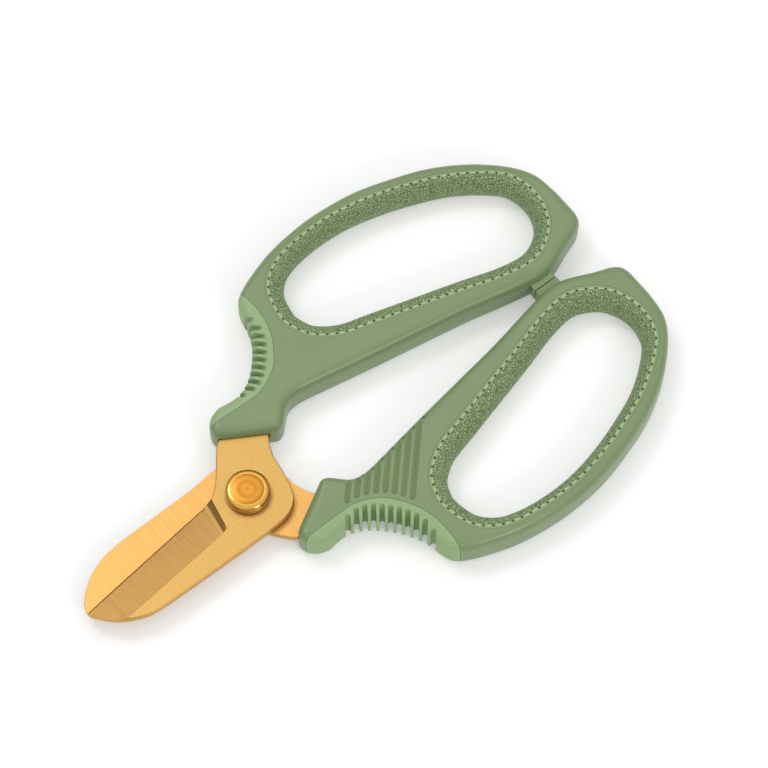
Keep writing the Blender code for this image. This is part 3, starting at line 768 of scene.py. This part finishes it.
def makeBlade(half):
    # the plan outline with a small chamfer ring at each face, then the ground faces cut by leaning blocks
    b, t = bladeShape, bladeFaces
    line = softened(evenOutline(bladeOutline(half), b["spacing"]), b["spacing"], b["soften"])
    inset = np.minimum(b["chamfer"], cornerRoom(line, b["spacing"], b["chamfer"]))
    back = b["backChamfer"]
    item = loft(half + "BladePlate", [
        atHeight(grown(line, -inset * back), b["bottom"]), atHeight(line, b["bottom"] + b["chamfer"] * back),
        atHeight(line, b["top"] - b["chamfer"]), atHeight(grown(line, -inset), b["top"])], half)
    for block in grindBlocks(half):
        combine(item, loft("grind", block, half), "DIFFERENCE")
    turn = np.linspace(0, 2 * math.pi, b["boreSides"], endpoint=False)
    hole = b["bore"] * np.stack([np.cos(turn), np.sin(turn)], axis=1)
    combine(item, slab("bore", hole, -b["boreRoom"], b["top"] + b["boreRoom"], half), "DIFFERENCE")
    finish(item, half + "_half", half + "_blade",
           [satinGold, groundGold, bevelShadeGold, runOutShadeGold], angle=18)
    # inner faces are ground bright, leaning faces are the bevel with painted shade, its run-out is rougher and darker
    # still with painted shade, and the rest is blasted
    normal = np.zeros(len(item.data.polygons) * 3)
    item.data.polygons.foreach_get("normal", normal)
    area = np.zeros(len(item.data.polygons))
    item.data.polygons.foreach_get("area", area)
    up = normal.reshape(-1, 3)[:, 2] * (1 if half == "upper" else -1)
    leaning = (up > t["bevelSteepest"]) & (up < t["bevelFlattest"]) & (area > t["leastArea"])
    index = np.where(up < t["inner"], 1, np.where(leaning, 2, 0))
    centre = np.zeros(len(item.data.polygons) * 3)
    item.data.polygons.foreach_get("center", centre)
    ahead = (centre[::3] - pivot[0]) * 1000
    near = min(-b["grind"][0][0], -b["grind"][-1][0])
    # the run-out's faces take the gold darkened with painted shade
    index = np.where((index == 2) & (ahead < near + b["runOut"]) & (up < t["runOutFlattest"]), 3, index)
    item.data.polygons.foreach_set("material_index", index.astype(np.int32))
    return item


rivetShape = {
    "head": 6.2, "disc": 4.55, "bottom": 3.25, "top": 5.15, "shank": 3.0, "tail": 4.2, "tailTop": -3.25,
    "tailBottom": -4.15, "sides": 144,
    "polished": ("DBA64E", "E6B662", 0.13, 0.6, 0.6, 0.001),  # two colours, roughness, grain across, along and deep
    "faced": ("C0822F", "CE9140", 0.36, 0.35, 0.006),  # two colours, roughness, a radian of the rings, and their depth
    "centre": 0.3,  # radius at which the two ends are closed flat
    "land": 0.5,  # upright part of the head
    "landEase": 0.1,  # chamfer under it
    "step": 0.08,  # ledge between shoulder and disc
    "crest": 0.05,  # the shoulder ends this far below the disc
    "crown": ((0.0, 0.06), (0.10, 0.03)),  # in from the disc's edge, and down from its top
    "crownFlat": (0.6, 0.005),  # share of the disc's radius, and down from its top
    "shoulderSteps": 14,
    "tailRound": 0.6,
    "tailRim": 0.3,
    "tailFlat": 0.2,
    "tailSteps": 8,
    "discEdge": 0.05,  # a face is the disc's if it lies this far inside its edge
    "discDepth": 0.5,  # and no further below its top
}
polishedGold = coatedSteel("polishedGoldCoatedSteel", *rivetShape["polished"])
discGold = turnedGold("turnedGoldCoatedSteel", *rivetShape["faced"])


def turned(profile):
    # the profile's points (radius, height) carried once round the pivot's axis
    profile = np.array(profile)
    turn = np.linspace(0, 2 * math.pi, rivetShape["sides"], endpoint=False)
    circle = np.stack([np.cos(turn), np.sin(turn)], axis=1)
    return np.concatenate([profile[:, None, :1] * circle[None],
                           np.broadcast_to(profile[:, None, 1:], (len(profile), len(turn), 1))], axis=2)


def makeRivet():
    # head: upright land, a convex polished shoulder, a fine step, then a barely crowned disc; tail: a low dome
    r = rivetShape
    a = np.linspace(0, math.pi / 2, r["shoulderSteps"])
    width, rise = r["head"] - r["disc"], r["top"] - r["bottom"] - r["land"] - r["crest"]
    shoulder = np.stack([r["disc"] + r["step"] + (width - r["step"]) * np.cos(a),
                         r["bottom"] + r["land"] + rise * np.sin(a)], axis=1)
    disc = [(r["disc"] - inwards, r["top"] - down) for inwards, down in r["crown"]]
    disc += [(r["disc"] * r["crownFlat"][0], r["top"] - r["crownFlat"][1]), (r["centre"], r["top"])]
    c = np.linspace(-math.pi / 2, 0, r["tailSteps"])
    tail = np.stack([r["tail"] + r["tailRound"] * (np.cos(c) - 1),
                     r["tailTop"] - r["tailRim"] + r["tailRound"] * np.sin(c)], axis=1)
    profile = np.vstack([[(r["centre"], r["tailBottom"] + r["tailFlat"])], tail, [(r["tail"], r["tailTop"])],
                         [(r["shank"], r["tailTop"]), (r["shank"], r["bottom"]),
                          (r["head"] - r["landEase"], r["bottom"]), (r["head"], r["bottom"] + r["landEase"])],
                         shoulder, disc])
    profile[:, 1] = np.clip(profile[:, 1], r["tailBottom"], r["top"])
    item = loft("rivetPin", turned(profile), "upper")
    finish(item, "lower_half", "pivot_rivet", [polishedGold, discGold], angle=28)
    centre = np.zeros(len(item.data.polygons) * 3)
    item.data.polygons.foreach_get("center", centre)
    centre = centre.reshape(-1, 3)
    near = np.hypot(centre[:, 0] - pivot[0], centre[:, 1] - pivot[1]) < (r["disc"] - r["discEdge"]) / 1000
    index = np.where(near & (centre[:, 2] > pivot[2] + (r["top"] - r["discDepth"]) / 1000), 1, 0)
    item.data.polygons.foreach_set("material_index", index.astype(np.int32))


washerShape = {"headOuter": 6.2, "tailOuter": 4.8, "hole": 3.3, "headBottom": 2.55, "thickness": 0.4, "chamfer": 0.08}


def makeWasher(name, outer, bottom, node):
    # a flat ring with its outer edges chamfered
    w = washerShape
    c, top = w["chamfer"], bottom + w["thickness"]
    profile = [(w["hole"], bottom), (outer - c, bottom), (outer, bottom + c), (outer, top - c), (outer - c, top),
               (w["hole"], top)]
    item = loft(name, turned(profile), "upper", closed=True)
    finish(item, "lower_half", node, [satinGold], angle=28)


for half in ("upper", "lower"):
    makeHandle(half)
    makePad(half)
    makeLiner(half)
    makeStitches(half)
    makeBlade(half)
    print(half, "half made")
makeRivet()
makeWasher("headWasherRing", washerShape["headOuter"], washerShape["headBottom"], "head_washer")
makeWasher("tailWasherRing", washerShape["tailOuter"], -washerShape["headBottom"] - washerShape["thickness"],
           "tail_washer")
print("rivet and washers made")

cameraSet = {  # metres from the pivot, degrees, metres, and millimetres of lens and sensor
    "aim": (-0.0478, -0.0021, 0.0052), "turn": 38.04, "tilt": 26.23, "distance": 0.964, "lens": 167.4, "sensor": 36,
}
turnAngle, tiltAngle = math.radians(cameraSet["turn"]), math.radians(cameraSet["tilt"])
imageRight = Vector((-math.cos(turnAngle), math.sin(turnAngle), 0))
imageUp = Vector((-math.sin(turnAngle), -math.cos(turnAngle), 0))  # on the floor
forward = imageUp * math.sin(tiltAngle) + Vector((0, 0, -math.cos(tiltAngle)))
aim = Vector(tuple(pivot)) + Vector(cameraSet["aim"])
cameraData = bpy.data.cameras.new("camera")
cameraData.lens, cameraData.sensor_width = cameraSet["lens"], cameraSet["sensor"]
camera = bpy.data.objects.new("camera", cameraData)
bpy.context.scene.collection.objects.link(camera)
above = imageRight.cross(forward)
camera.matrix_world = Matrix.Translation(aim - forward * cameraSet["distance"]) @ Matrix(
    (imageRight, above, -forward)).transposed().to_4x4()
bpy.context.scene.camera = camera

floorShape = {
    "reach": 3,
    "base": 0.74,
    "lift": 0.30,  # its own light, which keeps bare paper just at white
    "roughness": 0.9,
}
floorMesh = bpy.data.meshes.new("floor")
floorCorners = floorShape["reach"] * np.array([(-1, -1, 0), (1, -1, 0), (1, 1, 0), (-1, 1, 0)])
floorMesh.from_pydata(floorCorners.tolist(), [], [(0, 1, 2, 3)])
floor = bpy.data.objects.new("floor", floorMesh)
bpy.context.scene.collection.objects.link(floor)
# uncoated white paper: dull, with no gloss at all
paper, _, paperShader = newMaterial("whitePaper", 0, floorShape["roughness"])
paperShader.inputs["Base Color"].default_value = (*[floorShape["base"]] * 3, 1)
paperShader.inputs["Specular IOR Level"].default_value = 0.0
paperShader.inputs["Emission Color"].default_value = (1, 1, 1, 1)
paperShader.inputs["Emission Strength"].default_value = floorShape["lift"]
floorMesh.materials.append(paper)

roomSet = {"low": 0.05, "high": 0.75, "dim": 0.08, "bright": 0.94}  # dimmer towards the horizon
world = bpy.data.worlds.new("softRoom")
bpy.context.scene.world = world
world.use_nodes = True
sky = addNode(world.node_tree, "ShaderNodeTexCoord").outputs["Generated"]
rising = addNode(world.node_tree, "ShaderNodeSeparateXYZ", links={0: sky})
glow = addNode(world.node_tree, "ShaderNodeMapRange",
               {"From Min": roomSet["low"], "From Max": roomSet["high"], "To Min": roomSet["dim"],
                "To Max": roomSet["bright"]}, {"Value": rising.outputs[2]})
world.node_tree.links.new(glow.outputs[0], world.node_tree.nodes["Background"].inputs[1])
world.node_tree.nodes["Background"].inputs[0].default_value = (1, 1, 1, 1)
bpy.context.scene.view_settings.view_transform = "Standard"

lightSet = {  # name: (right, up, height) in metres from the aim, size in metres, watts
    "key": ((-0.62, 0.50, 1.30), 0.50, 3.9),
    "front": ((0.66, -0.86, 0.72), 0.32, 2.8),
    "box": ((0.0, 0.66, 1.35), 0.60, 0.5),
}
for name, (offset, size, watts) in lightSet.items():
    data = bpy.data.lights.new(name, "AREA")
    data.shape, data.size, data.energy = "DISK", size, watts
    lamp = bpy.data.objects.new(name, data)
    bpy.context.scene.collection.objects.link(lamp)
    lamp.location = aim + imageRight * offset[0] + imageUp * offset[1] + Vector((0, 0, offset[2]))
    lamp.rotation_mode = "QUATERNION"
    lamp.rotation_quaternion = (aim - lamp.location).to_track_quat("-Z", "Y")
print("camera, floor and light set")
